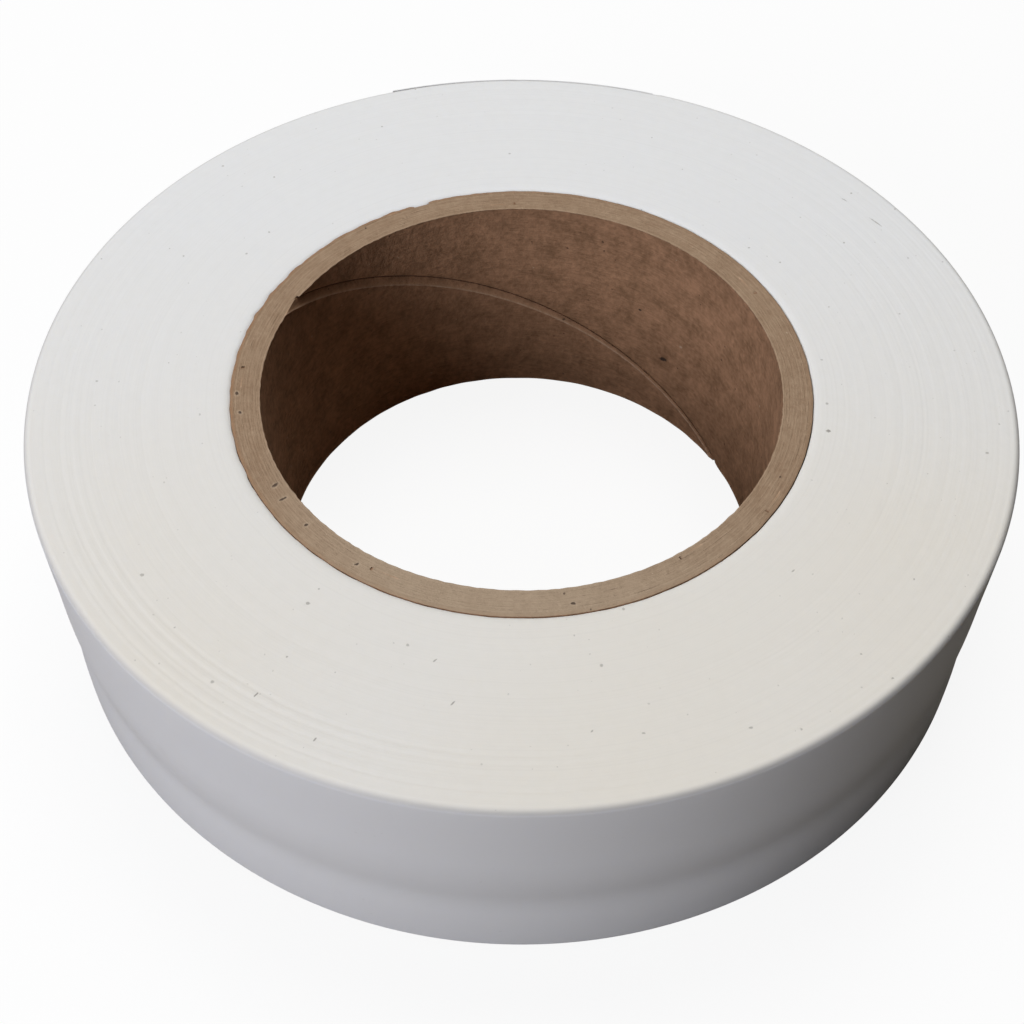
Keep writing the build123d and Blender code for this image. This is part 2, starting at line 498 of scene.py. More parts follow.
def opening(height):
    """How far the liner's seam has opened: 0 near the bottom, 1 near the top."""
    return smooth_step((height / roll_width - 0.12) / 0.55)


def as_opened(sizes, height):
    """A size that grows from its first value to its second as the seam opens."""
    closed, opened = sizes
    return closed + (opened - closed) * opening(height)


def edge_heights(number, height):
    """How far above the seam's middle a strip's starting edge and its ending edge lie."""
    if number == 0:
        return as_opened(LINER_STARTING_EDGE, height), as_opened(LINER_ENDING_EDGE, height)
    half = OUTER_HALF_GAP if number == len(ply_names) - 1 else BURIED_HALF_GAP
    return -half + 0 * height, half + 0 * height


def edge_angles(number, height):
    """The angles of the starting edge, and of the ending edge a turn later."""
    starting, ending = edge_heights(number, height)
    middle = seam_middle(number, height)
    per_turn = 2 * math.pi / SEAM_PITCH
    return middle - starting * per_turn, middle + 2 * math.pi - ending * per_turn


# %% [markdown]
# The groove in the bore is more than a gap. The edge below it is crushed to a long slope that
# catches the light, and ends in a thin line of raised fibres; the slope's colour is paler crushed
# paper and a painted highlight that grows towards its lower end. The edge above it is only a
# little rounded, and in the gap the next ply's wall gets painted shade, for the shadow that
# the edge above casts there.

# %% The liner's crushed edges
SLOPE_DEPTH = 0.42 * MM
FIBRE_RIDGE = 0.06 * MM
FIBRE_SPREAD = 0.07 * MM  # in the mesh, and a little wider in the finish
FIBRE_FINISH_SPREAD = 0.09 * MM
UPPER_ROUNDING = 0.2 * MM
UPPER_ROUNDING_WIDTH = 0.35 * MM
BOTTOM_BURR = 0.28 * MM  # the saw turned the bore's lower edge in
TOP_ROUGHNESS = 0.03 * MM
SAWN_EDGE_WIDTH = 0.3 * MM
WALL_WAVES = 0.012 * MM


def crushed(below, above, height, angle):
    """How far the bore's wall lies back, by the distance below one edge of the strip and above the other."""
    length = as_opened(LINER_SLOPE_LENGTH, height)
    slope = SLOPE_DEPTH * (0.45 + 0.55 * opening(height)) * (1 - np.clip(below / length, 0, 1))
    ragged = 0.7 + 0.3 * round_waver(angle, 40, 160, 350)
    ridge = FIBRE_RIDGE * ragged * bump_at(below, length, FIBRE_SPREAD)
    upper = UPPER_ROUNDING * np.exp(-above / UPPER_ROUNDING_WIDTH)
    burr = BOTTOM_BURR * np.exp(-height / SAWN_EDGE_WIDTH)
    near_top = np.exp(-(roll_width - height) / SAWN_EDGE_WIDTH)
    rough = TOP_ROUGHNESS * round_waver(angle, 50, 170, 351) * near_top
    wavy = WALL_WAVES * round_waver(angle + 9 * height, 3, 12, 340)
    return slope - ridge + upper - burr + rough + wavy


# %% Build the plies
SHOWN_COLUMNS, SHOWN_ROWS = 420, 34  # in the liner
BURIED_COLUMNS, BURIED_ROWS = 220, 26
END_STEP = 0.006 * MM  # how much one ply stands above the next
GLUE_LINE = 0.03 * MM
END_ROUGHNESS = 0.012 * MM
CORE_SET_BACK = 0.04 * MM
LUMPS_REACH = 0.5 * MM  # from a face, how deep the outer ply's lumps go
RIM_SAG = 0.10 * MM  # how far the frayed rim has sunk on the lumpy side
NEAR_EDGE = np.linspace(0, 2.0, 21) * MM  # columns beside the strip's edges, by height
NEAR_FACE = np.array([0, 0.15, 0.4, 0.8]) * MM  # rows beside the faces


def strip_shares(number):
    """Places from one edge of a strip to the other, as shares, closer together near the edges."""
    columns = SHOWN_COLUMNS if number in (0, len(ply_names) - 1) else BURIED_COLUMNS
    near = NEAR_EDGE / SEAM_PITCH
    middle = np.linspace(near[-1], 1 - near[-1], columns)[1:-1]
    return np.concatenate([near, middle, (1 - near)[::-1]])[:, None]


def height_shares(number):
    """Places from the bottom face to the top one. The columns slant, so few would not stay round."""
    rows = SHOWN_ROWS if number == 0 else BURIED_ROWS
    near = NEAR_FACE / roll_width
    middle = np.linspace(near[-1], 1 - near[-1], rows)[1:-1]
    return np.concatenate([near, middle, (1 - near)[::-1]])[None, :]


def paper_ply(number):
    inner_radius = bore_radius + number * PLY_THICKNESS
    is_outer = number == len(ply_names) - 1
    share, level = strip_shares(number), height_shares(number)
    start, end = edge_angles(number, level * roll_width)
    angle = start + (end - start) * share

    set_back = CORE_SET_BACK + END_STEP * math.sin(2.3 * number + 0.7)
    top = roll_width - set_back - END_ROUGHNESS * round_waver(angle[:, -1], 5, 60, 320 + number)
    bottom = set_back + END_ROUGHNESS * round_waver(angle[:, 0], 5, 60, 330 + number)
    height = bottom[:, None] + (top - bottom)[:, None] * level

    below, above = share * SEAM_PITCH, (1 - share) * SEAM_PITCH
    inner = inner_radius + (crushed(below, above, height, angle) if number == 0 else 0 * height)
    at_cut = np.exp(-np.minimum(roll_width - height, height) / LUMPS_REACH)
    face_height = np.where(level > 0.5, roll_width, 0) + 0 * share
    outline = core_outline(angle, face_height) if is_outer else 0
    outer = inner_radius + PLY_THICKNESS + outline * at_cut
    sag = GLUE_LINE + (RIM_SAG * rough_share(angle) if is_outer else 0)
    outer_height = height - sag * (level == 1) + sag * (level == 0)
    inner_height = height - GLUE_LINE * (level == 1) + GLUE_LINE * (level == 0)

    inside = np.arange(height.size).reshape(height.shape)
    outside = inside + height.size
    crown_top = np.arange(len(share)) + 2 * height.size
    crown_bottom = crown_top + len(share)
    crown_angle = np.stack([angle[:, -1], angle[:, 0]])
    crown_radius = (inner[:, [-1, 0]] + outer[:, [-1, 0]]).T / 2
    points = np.vstack([
        polar(inner, angle, inner_height),
        polar(outer, angle, outer_height),
        polar(crown_radius, crown_angle, np.stack([top, bottom])),
    ])
    faces = [
        *grid_quads(inside)[:, ::-1],
        *grid_quads(outside),
        *grid_quads(np.stack([inside[:, -1], crown_top, outside[:, -1]])),
        *grid_quads(np.stack([outside[:, 0], crown_bottom, inside[:, 0]])),
        *end_faces(inside[0], outside[0], crown_top[0], crown_bottom[0]),
        *end_faces(outside[-1], inside[-1], crown_top[-1], crown_bottom[-1]),
    ]
    marks = ply_marks(below, height, level, angle, is_outer)
    return make_piece(f"{ply_names[number]}_paper", points, faces, marks)


def end_faces(one_side, other_side, crown_top, crown_bottom):
    """The narrow face along a strip's edge, and the two small triangles at its ends."""
    long_faces = quads(one_side[:-1], other_side[:-1], other_side[1:], one_side[1:])
    top_face = [one_side[-1], other_side[-1], crown_top]
    bottom_face = [other_side[0], one_side[0], crown_bottom]
    return [*long_faces, top_face, bottom_face]


def ply_marks(below, height, level, angle, is_outer):
    """For each point: is it on a sawn end, on the crushed slope (a share that grows towards the slope's lower
    end, for paler paper and a painted highlight), on its fibre ridge, on the torn rim?
    """
    sawn = np.where((level == 0) | (level == 1), 1, 0) + 0 * below
    length = as_opened(LINER_SLOPE_LENGTH, height)
    # The slope's share grows towards its lower end, so that its paler colour is also a painted highlight
    # there, darkest next to the edge.
    slope = np.where(below < 1.05 * length, np.clip(below / length, 0, 1) ** 1.4, 0)
    ridge = bump_at(below, length, FIBRE_FINISH_SPREAD)
    torn = sawn * rough_share(angle) * (1 if is_outer else 0)
    crown = np.concatenate([torn[:, -1], torn[:, 0]])
    none, one = np.zeros(len(crown)), np.ones(len(crown))
    return {
        "sawn_end": np.concatenate([sawn.ravel(), sawn.ravel(), one]),
        "crushed_slope_highlight": np.concatenate([slope.ravel(), 0 * sawn.ravel(), none]),
        "fibre_ridge": np.concatenate([ridge.ravel(), 0 * sawn.ravel(), none]),
        "torn_rim": np.concatenate([0.25 * torn.ravel(), torn.ravel(), 0.8 * crown]),
    }


plies = [paper_ply(number) for number in range(len(ply_names))]

# %% [markdown]
# ## Finishes
#
# Every finish is made of nodes. `put` adds a node, and fills its inputs with numbers or with
# links to other nodes, so that a material reads from top to bottom like a recipe.
#
# Film and paper share some effects: fine parallel lines, small specks, cloudy tone and fibres.
# Each is a node group, built once, with named inputs that each material sets for itself. The
# groups put out plain numbers only. The shader stays in the material.

# %% A recipe writer for nodes
def put(tree, kind, inputs=None, **settings):
    """Adds a node, and fills inputs, named or numbered, with values or links."""
    made = tree.nodes.new(kind)
    for name, value in settings.items():
        setattr(made, name, value)
    for name, value in (inputs or {}).items():
        if isinstance(value, bpy.types.NodeSocket):
            tree.links.new(value, made.inputs[name])
        else:
            made.inputs[name].default_value = value
    return made


def maths(tree, operation, *values):
    """The result of one Math node."""
    return put(tree, "ShaderNodeMath", dict(enumerate(values)), operation=operation).outputs[0]


def times(tree, *values):
    """The product of two or more values."""
    product = values[0]
    for value in values[1:]:
        product = maths(tree, "MULTIPLY", product, value)
    return product


def plus(tree, one, other):
    return maths(tree, "ADD", one, other)


def ramp(tree, value, low, high, to_low=0.0, to_high=1.0):
    """value, spread from low..high to to_low..to_high, and held at the ends."""
    inputs = {"Value": value, "From Min": low, "From Max": high, "To Min": to_low, "To Max": to_high}
    return put(tree, "ShaderNodeMapRange", inputs).outputs["Result"]


def colour_mix(tree, share, one, other):
    """A colour between two colours."""
    made = put(tree, "ShaderNodeMix", data_type="RGBA")
    for socket, value in zip((made.inputs[0], made.inputs[6], made.inputs[7]), (share, one, other)):
        if isinstance(value, bpy.types.NodeSocket):
            tree.links.new(value, socket)
        else:
            socket.default_value = value if isinstance(value, float) else (*value, 1)
    return made.outputs[2]


def new_group(name, inputs, outputs):
    """An empty node group, its input node and its output node."""
    group = bpy.data.node_groups.new(name, "ShaderNodeTree")
    for label, default in inputs.items():
        socket = group.interface.new_socket(label, in_out="INPUT", socket_type="NodeSocketFloat")
        socket.default_value = default
    for label in outputs:
        group.interface.new_socket(label, in_out="OUTPUT", socket_type="NodeSocketFloat")
    return group, put(group, "NodeGroupInput").outputs, put(group, "NodeGroupOutput").inputs


def use_group(tree, group, inputs=None):
    """Places a group in a material, with its own values."""
    return put(tree, "ShaderNodeGroup", inputs, node_tree=group).outputs


# %% [markdown]
# **Place on the roll.** Wraps and plies are both rings round one axis, so a point's distance
# from that axis tells which ring it is on. It is the length of x and y together. How far
# round it lies, and how high, are the other two measures that a roll's details follow.

# %% Group: place on the roll
def place_group():
    group, _, give = new_group("place_on_roll", {}, ["Distance", "Round", "Height"])
    place = put(group, "ShaderNodeTexCoord").outputs["Object"]
    parts = put(group, "ShaderNodeSeparateXYZ", {0: place}).outputs
    squares = [maths(group, "MULTIPLY", parts[axis], parts[axis]) for axis in ("X", "Y")]
    distance = maths(group, "SQRT", maths(group, "ADD", *squares))
    angle = maths(group, "ARCTAN2", parts["Y"], parts["X"])
    group.links.new(distance, give["Distance"])
    group.links.new(maths(group, "MULTIPLY", angle, distance), give["Round"])
    group.links.new(parts["Z"], give["Height"])
    return group


place_on_roll = place_group()

# %% [markdown]
# **Layer lines.** The edges of wraps and plies are fine lines side by side. A wave would make
# them all alike. Noise along one direction gives lines of uneven weight, and a little noise
# from the whole place, added to that direction, makes them fade and shift round the roll.

# %% Group: layer lines
def layer_group():
    sizes = {"Across": 0.0, "Spacing": 0.0002, "Wander": 0.5}
    group, take, give = new_group("layer_lines", sizes, ["Height", "Dark"])
    place = put(group, "ShaderNodeTexCoord").outputs["Object"]
    slow = put(group, "ShaderNodeTexNoise", {"Vector": place, "Scale": 55.0, "Detail": 2.0}).outputs["Fac"]
    steps = maths(group, "DIVIDE", take["Across"], take["Spacing"])
    steps = maths(group, "ADD", steps, maths(group, "MULTIPLY", slow, take["Wander"]))
    lines = put(group, "ShaderNodeTexNoise", {"W": steps, "Scale": 1.0, "Detail": 3.0}, noise_dimensions="1D")
    group.links.new(lines.outputs["Fac"], give["Height"])
    group.links.new(ramp(group, lines.outputs["Fac"], 0.5, 0.3), give["Dark"])
    return group


layer_lines = layer_group()

# %% [markdown]
# **Specks.** Dust on the film, and knots and pits in the paper, are small spots that are far
# apart and unlike each other. Cells scattered at random give each spot a place. A cell's own
# random colour decides whether it has a spot at all, and how large that spot is.

# %% Group: specks
def speck_group():
    sizes = {"Cell": 0.004, "Share": 0.2, "Size": 0.1}
    group, take, give = new_group("specks", sizes, ["Mask"])
    place = put(group, "ShaderNodeTexCoord").outputs["Object"]
    warp = put(group, "ShaderNodeTexNoise", {"Vector": place, "Scale": 900.0}).outputs["Color"]
    pushed = put(group, "ShaderNodeVectorMath", {0: warp, "Scale": 0.0005}, operation="SCALE").outputs[0]
    place = put(group, "ShaderNodeVectorMath", {0: place, 1: pushed}, operation="ADD").outputs[0]
    scale = maths(group, "DIVIDE", 1.0, take["Cell"])
    cells = put(group, "ShaderNodeTexVoronoi", {"Vector": place, "Scale": scale}).outputs
    luck = put(group, "ShaderNodeSeparateColor", {0: cells["Color"]}).outputs
    chosen = maths(group, "LESS_THAN", luck[0], take["Share"])
    size = maths(group, "MULTIPLY", take["Size"], ramp(group, luck[1], 0.0, 1.0, 0.5, 1.2))
    spot = maths(group, "SUBTRACT", 1.0, maths(group, "DIVIDE", cells["Distance"], size))
    spot = ramp(group, spot, 0.0, 0.45)
    group.links.new(maths(group, "MULTIPLY", spot, chosen), give["Mask"])
    return group


specks = speck_group()

# %% [markdown]
# **Clouds.** Paper is unevenly thick, and film is unevenly clear. Soft noise of one size is
# enough. It is its own group because both materials use it, at different sizes.

# %% Group: clouds
def cloud_group():
    group, take, give = new_group("clouds", {"Size": 0.02, "Detail": 3.0}, ["Value"])
    place = put(group, "ShaderNodeTexCoord").outputs["Object"]
    scale = maths(group, "DIVIDE", 1.0, take["Size"])
    noise = put(group, "ShaderNodeTexNoise", {"Vector": place, "Scale": scale, "Detail": take["Detail"]})
    group.links.new(ramp(group, noise.outputs["Fac"], 0.3, 0.7), give["Value"])
    return group


clouds = cloud_group()

# %% [markdown]
# **Fibres.** Kraft paper shows its wood fibres as short fine streaks that lie mostly one way.
# Noise that is squeezed across that way and stretched along it looks the same. The streaks
# follow the strip, so the place is first unrolled to a distance round the core and a height,
# and then turned by the seam's angle.

# %% Group: fibres
def fibre_group():
    sizes = {"Turn": 0.0, "Width": 0.0003, "Length": 0.003}
    group, take, give = new_group("fibres", sizes, ["Value"])
    here = use_group(group, place_on_roll)
    unrolled = {"X": here["Round"], "Y": here["Height"], "Z": here["Distance"]}
    flat = put(group, "ShaderNodeCombineXYZ", unrolled).outputs[0]
    turn = {"Vector": flat, "Angle": maths(group, "MULTIPLY", take["Turn"], -1.0)}
    turned = put(group, "ShaderNodeVectorRotate", turn, rotation_type="Z_AXIS").outputs[0]
    lined_up = put(group, "ShaderNodeSeparateXYZ", {0: turned}).outputs
    stretched = {
        "X": maths(group, "DIVIDE", lined_up["X"], take["Length"]),
        "Y": maths(group, "DIVIDE", lined_up["Y"], take["Width"]),
        "Z": maths(group, "DIVIDE", lined_up["Z"], take["Width"]),
    }
    noise_place = put(group, "ShaderNodeCombineXYZ", stretched).outputs[0]
    noise = put(group, "ShaderNodeTexNoise", {"Vector": noise_place, "Scale": 1.0, "Detail": 3.0})
    group.links.new(ramp(group, noise.outputs["Fac"], 0.25, 0.75), give["Value"])
    return group


fibres = fibre_group()

# %% [markdown]
# **A single mark.** A fleck of bark in the liner, or a scratch on the film, is one spot at one
# place. The group measures how far a point lies from that place, along the mark and across
# it, and lets noise eat into the outline.

# %% Group: a single mark
def blot_group():
    sizes = {"Along": 0.0, "Across": 0.0, "Length": 0.001, "Width": 0.0005, "Slant": 0.0}
    group, take, give = new_group("single_mark", sizes, ["Mask"])
    flat = put(group, "ShaderNodeCombineXYZ", {"X": take["Along"], "Y": take["Across"]}).outputs[0]
    turn = {"Vector": flat, "Angle": take["Slant"]}
    turned = put(group, "ShaderNodeVectorRotate", turn, rotation_type="Z_AXIS").outputs[0]
    parts = put(group, "ShaderNodeSeparateXYZ", {0: turned}).outputs
    along = maths(group, "DIVIDE", parts[0], take["Length"])
    across = maths(group, "DIVIDE", parts[1], take["Width"])
    squares = [maths(group, "MULTIPLY", share, share) for share in (along, across)]
    away = maths(group, "MULTIPLY", maths(group, "SQRT", maths(group, "ADD", *squares)), 2.0)
    place = put(group, "ShaderNodeTexCoord").outputs["Object"]
    noise = put(group, "ShaderNodeTexNoise", {"Vector": place, "Scale": 2500.0, "Detail": 2.0}).outputs["Fac"]
    eaten = maths(group, "ADD", away, maths(group, "MULTIPLY", noise, 1.2))
    group.links.new(ramp(group, eaten, 1.6, 1.2), give["Mask"])
    return group


single_mark = blot_group()


def mark_at(tree, along, across, at, length, width, slant=0.0):
    """One mark in a material, at a place given by its two measures."""
    inputs = {
        "Along": maths(tree, "SUBTRACT", along, at[0]),
        "Across": maths(tree, "SUBTRACT", across, at[1]),
        "Length": length,
        "Width": width,
        "Slant": slant,
    }
    return use_group(tree, single_mark, inputs)["Mask"]


# %% A new material
def new_material(name, **constants):
    """A material with one Principled shader, whose even properties are set on its own sockets."""
    material = bpy.data.materials.new(name)
    material.use_nodes = True
    tree = material.node_tree
    shader = tree.nodes["Principled BSDF"]
    for label, value in constants.items():
        shader.inputs[label.replace("_", " ")].default_value = value
    return material, tree, shader.inputs


def object_place(tree):
    """The three measures x, y and z of a point on a piece."""
    place = put(tree, "ShaderNodeTexCoord").outputs["Object"]
    return put(tree, "ShaderNodeSeparateXYZ", {0: place}).outputs


def mark(tree, name):
    """The number that the mesh holds under this name."""
    return put(tree, "ShaderNodeAttribute", attribute_name=name).outputs["Fac"]


# %% [markdown]
# ## White polythene
#
# The film is filled with white pigment, yet some light still goes in and comes out a
# millimetre or two away, which is why the roll's rim looks soft and its shadows are never
# hard. Subsurface scattering does that. The sawn-looking ends, which are really thousands of
# slit edges, are matte and show layer lines and dust. The side is the film's own surface, with
# a dull shine. One material serves both, led by how far a point is round the rim.

# %% Colours of the film
FACE_NEUTRAL = (0.80, 0.80, 0.80)
FACE_CREAM = (0.79, 0.75, 0.68)
SIDE_WHITE = (0.80, 0.795, 0.80)
# The grey of dust and layer lines, which also serves as painted shade on the rim and in the gauge band.
DUST_AND_SHADE_GREY = (0.33, 0.31, 0.28)
CREAMY_SIDE = (35.0 * MM, -30.0 * MM)  # along y, from where the face is neutral to where it is creamy
FACE_MARKS = (  # x, y, length, width in millimetres, slant in degrees, strength
    (56.2, 35.5, 2.8, 0.30, 50, 0.6),
    (51.8, 40.8, 1.6, 0.28, 40, 0.5),
    (43.9, -9.2, 0.75, 0.6, 0, 0.9),
    (-33.5, -55.0, 0.9, 0.28, -55, 0.9),
    (-25.5, -61.5, 0.8, 0.26, -55, 0.8),
    (-11.0, -49.5, 0.8, 0.26, -40, 0.7),
    (-8.5, -56.0, 0.9, 0.28, -50, 0.8),
    (-50.5, -36.0, 0.7, 0.5, 0, 0.6),
    (-28.0, -40.5, 0.7, 0.55, 0, 0.7),
    (9.0, -60.0, 0.6, 0.26, -50, 0.6),
    (36.5, -34.5, 0.7, 0.26, -40, 0.6),
)
BAND_PAINTED_SHADE = 0.09  # painted shade on the gauge band, which fades out over these heights
BAND_ABOVE = (24.0 * MM, 15.5 * MM)
BAND_BELOW = (9.5 * MM, 14.5 * MM)
RIM_PAINTED_SHADE = 0.28  # painted shade: the rim's rounding is a little darker than either side of it


# %% Marks on the film
def film_marks(tree, x, y):
    """How dark each speck of dust, each nick and the scratch is."""
    dust = use_group(tree, specks, {"Cell": 3.1 * MM, "Share": 0.55, "Size": 0.075})["Mask"]
    fine_dust = use_group(tree, specks, {"Cell": 1.5 * MM, "Share": 0.3, "Size": 0.10})["Mask"]
    dark = maths(tree, "MAXIMUM", times(tree, dust, 0.6), times(tree, fine_dust, 0.3))
    for at_x, at_y, length, width, slant, strength in FACE_MARKS:
        single = mark_at(tree, x, y, (at_x * MM, at_y * MM), length * MM, width * MM, math.radians(slant))
        dark = maths(tree, "MAXIMUM", dark, times(tree, single, strength))
    return dark


# %% Tones of the film
def face_tone(tree, y, lines_dark, mottle):
    """The face's white, neutral on one half and creamy on the other, with faint layer lines."""
    cloudy = use_group(tree, clouds, {"Size": 60 * MM, "Detail": 1.0})["Value"]
    creamy = times(tree, ramp(tree, y, *CREAMY_SIDE), ramp(tree, cloudy, 0.0, 1.0, 0.45, 1.0))
    white = colour_mix(tree, creamy, FACE_NEUTRAL, FACE_CREAM)
    darker = plus(tree, times(tree, lines_dark, 0.03), times(tree, mottle, 0.02))
    return colour_mix(tree, darker, white, DUST_AND_SHADE_GREY)


def side_tone(tree, height):
    """The side's white, with painted shade in the gauge band."""
    band = times(tree, ramp(tree, height, *BAND_ABOVE), ramp(tree, height, *BAND_BELOW), BAND_PAINTED_SHADE)
    return colour_mix(tree, band, SIDE_WHITE, DUST_AND_SHADE_GREY)


# %% Make the film's finish
def film_finish():
    even = {
        "Subsurface_Weight": 0.35,
        "Subsurface_Radius": (1.0, 0.95, 0.85),
        "Subsurface_Scale": 1.4 * MM,
        "IOR": 1.51,
        "Specular_IOR_Level": 0.35,
    }
    material, tree, shader = new_material("white_polythene", **even)
    side = mark(tree, "side_share")
    face = maths(tree, "SUBTRACT", 1.0, side)
    here = use_group(tree, place_on_roll)
    x, y = object_place(tree)[:2]
    edges = use_group(tree, layer_lines, {"Across": here["Distance"], "Spacing": 0.35 * MM, "Wander": 3.0})
    bands = use_group(tree, layer_lines, {"Across": here["Height"], "Spacing": 2.6 * MM, "Wander": 0.35})
    mottle = use_group(tree, clouds, {"Size": 1.6 * MM, "Detail": 3.0})["Value"]
    marks = film_marks(tree, x, y)

    on_face = face_tone(tree, y, edges["Dark"], mottle)
    colour = colour_mix(tree, side, on_face, side_tone(tree, here["Height"]))
    # Painted shade on the rim's rounding, where it meets the side.
    colour = colour_mix(tree, times(tree, side, face, 4.0 * RIM_PAINTED_SHADE), colour, DUST_AND_SHADE_GREY)
    dirt = times(tree, marks, ramp(tree, side, 0.0, 1.0, 1.0, 0.12))
    tree.links.new(colour_mix(tree, dirt, colour, DUST_AND_SHADE_GREY), shader["Base Color"])

    haze = ramp(tree, bands["Height"], 0.3, 0.7, 0.48, 0.58)
    rough = put(tree, "ShaderNodeMix", {0: side, 2: 0.65, 3: haze}, data_type="FLOAT").outputs[0]
    tree.links.new(rough, shader["Roughness"])

    fine = plus(tree, times(tree, edges["Height"], 0.14), times(tree, mottle, 0.3))
    fine = maths(tree, "SUBTRACT", fine, times(tree, marks, 1.5))
    height = plus(tree, times(tree, fine, face), times(tree, bands["Height"], side, 0.4))
    bump = put(tree, "ShaderNodeBump", {"Strength": 0.5, "Distance": 0.05 * MM, "Height": height})
    tree.links.new(bump.outputs["Normal"], shader["Normal"])
    return material


film_white = film_finish()
for piece in (film, tail):
    piece.data.materials.append(film_white)

# %% [markdown]
# ## Kraft paper
#
# The core is unbleached kraft: brown, matte and cloudy, with darker and lighter flecks, and
# with its fibres along the strip. Freshly sawn ends are paler and show each ply as a pair of
# fine lines. Where an edge is torn or rubbed, the fibres stand up and the colour changes:
# paler along the liner's seam, and a rusty brown where the outer ply frays. The crushed slope
# along the seam also gets a painted highlight, lightest at its lower end.

# %% Colours and flecks of the paper
BORE_BROWN = (0.445, 0.25, 0.145)
BORE_DEEP = (0.235, 0.13, 0.07)
SAWN_BROWN = (0.385, 0.270, 0.178)
SAWN_DEEP = (0.29, 0.190, 0.118)
WORN_PALE = (0.52, 0.42, 0.31)
WORN_SHARE = 0.4
WORN_FADES = ((-22 * MM, -55 * MM), (-110 * MM, -80 * MM))  # round the core, fading in from either end
PIT_RIM_LENGTH, PIT_RIM_WIDTH = 0.7, 0.6  # millimetres that a pit's pale rim adds
# Painted shade: the colour of the next ply's wall in the liner's seam gap, for the shadow that the strip's
# edge above casts there.
GAP_PAINTED_SHADE = (0.06, 0.035, 0.02)
FLECK_DARK = (0.055, 0.035, 0.025)
FLECK_PALE = (0.58, 0.45, 0.33)
TORN_PALE = (0.56, 0.40, 0.28)
# Paler crushed paper, and a painted highlight on the liner's crushed slope.
CRUSHED_PALE_AND_HIGHLIGHT = (0.54, 0.33, 0.20)
TORN_RUST = (0.31, 0.165, 0.085)
SAWN_PITS = (  # x, y, length, width in millimetres and slant in degrees
    (-41.3, -2.7, 0.8, 0.5, 80),
    (-40.5, -6.4, 0.7, 0.45, 60),
    (-34.2, -20.1, 1.1, 0.6, -50),
    (-32.9, -22.6, 1.4, 0.4, -35),
    (-29.3, -27.2, 0.7, 0.5, -45),
    (-22.0, -33.9, 0.7, 0.4, -20),
    (7.0, -40.2, 0.8, 0.45, 10),
)
BARK_FLECKS = (  # angle in degrees, height, length, width
    (50.8, 13.3 * MM, 1.9 * MM, 1.0 * MM),
    (58.8, 21.6 * MM, 0.7 * MM, 0.5 * MM),
)
PALE_FLECK = (45.9, 18.3 * MM, 0.7 * MM, 0.6 * MM)


def fleck_at(tree, here, fleck):
    """A fleck on the bore's wall."""
    angle, height, length, width = fleck
    at = (math.radians(angle) * bore_radius, height)
    return mark_at(tree, here["Round"], here["Height"], at, length, width, math.radians(20))


# %% Colours of a sawn end and of torn paper
def sawn_tone(tree, here, blend, shade, lines):
    """A sawn end's brown, with its ply's fine lines, and paler along the worn stretch."""
    end = colour_mix(tree, times(tree, blend, shade), SAWN_DEEP, SAWN_BROWN)
    end = colour_mix(tree, times(tree, lines["Dark"], 0.35), end, SAWN_DEEP)
    end = colour_mix(tree, ramp(tree, lines["Height"], 0.56, 0.72, 0.0, 0.22), end, TORN_PALE)
    worn = times(tree, *[ramp(tree, here["Round"], *fade) for fade in WORN_FADES], WORN_SHARE)
    return colour_mix(tree, worn, end, WORN_PALE)


def with_torn_and_highlight(tree, colour, grain):
    """A colour with the crushed slope's paler paper and painted highlight, its raised fibres and the frayed
    rim added.
    """
    # The crushed slope: paler paper and a painted highlight.
    colour = colour_mix(tree, times(tree, mark(tree, "crushed_slope_highlight"), 0.72), colour, CRUSHED_PALE_AND_HIGHLIGHT)
    ridge = times(tree, mark(tree, "fibre_ridge"), ramp(tree, grain, 0.2, 0.8, 0.4, 1.0))
    colour = colour_mix(tree, ridge, colour, TORN_PALE)
    torn = times(tree, mark(tree, "torn_rim"), ramp(tree, grain, 0.15, 0.75, 0.25, 1.0))
    return colour_mix(tree, torn, colour, TORN_RUST)


def with_pits(tree, colour, sawn):
    """A colour with the pale rims of the sawn end's pits added, and the pits themselves."""
    x, y = object_place(tree)[:2]
    pits = 0.0
    for at_x, at_y, length, width, slant in SAWN_PITS:
        at, slant = (at_x * MM, at_y * MM), math.radians(slant)
        rim_length, rim_width = length + PIT_RIM_LENGTH, width + PIT_RIM_WIDTH
        rim = mark_at(tree, x, y, at, rim_length * MM, rim_width * MM, slant)
        pit = mark_at(tree, x, y, at, length * MM, width * MM, slant)
        colour = colour_mix(tree, times(tree, rim, sawn, 0.3), colour, FLECK_PALE)
        pits = maths(tree, "MAXIMUM", pits, times(tree, pit, sawn, 0.85))
    return colour, pits


